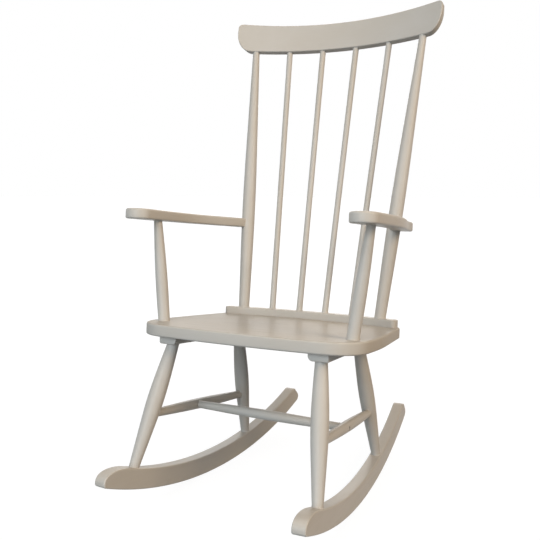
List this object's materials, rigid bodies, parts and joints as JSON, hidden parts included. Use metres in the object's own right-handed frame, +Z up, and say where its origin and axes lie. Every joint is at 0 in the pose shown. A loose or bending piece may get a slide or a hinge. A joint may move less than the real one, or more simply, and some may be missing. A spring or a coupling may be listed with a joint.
{
  "type": "spindle-back rocking chair",
  "caption": "Painted wooden rocking chair with a tall spindle back, a curved crest rail, a flat plank seat, shaped arms and turned legs on two curved rockers.",
  "frame": {"origin": "on the floor under the middle of the chair's bounding box, on its middle plane", "axes": "+Z up, -Y the way the sitter faces, +X to the sitter's left"},
  "size_m": [0.568, 0.7556, 1.1039],
  "materials": {
    "painted_wood": "satin paint",
    "screw_steel": "dull zinc"
  },
  "bodies": {
    "root": {"arm_screws": "screw_steel", "back_rail": "painted_wood", "batten_screws": "screw_steel", "crest_rail": "painted_wood", "cross_stretcher": "painted_wood", "left_arm": "painted_wood", "left_arm_support": "painted_wood", "left_back_post": "painted_wood", "left_front_leg": "painted_wood", "left_inner_spindle": "painted_wood", "left_outer_spindle": "painted_wood", "left_rear_leg": "painted_wood", "left_rocker": "painted_wood", "left_seat_batten": "painted_wood", "left_side_stretcher": "painted_wood", "rail_screws": "screw_steel", "right_arm": "painted_wood", "right_arm_support": "painted_wood", "right_back_post": "painted_wood", "right_front_leg": "painted_wood", "right_inner_spindle": "painted_wood", "right_outer_spindle": "painted_wood", "right_rear_leg": "painted_wood", "right_rocker": "painted_wood", "right_seat_batten": "painted_wood", "right_side_stretcher": "painted_wood", "seat": "painted_wood", "stretcher_screws": "screw_steel"}
  },
  "joints": []
}
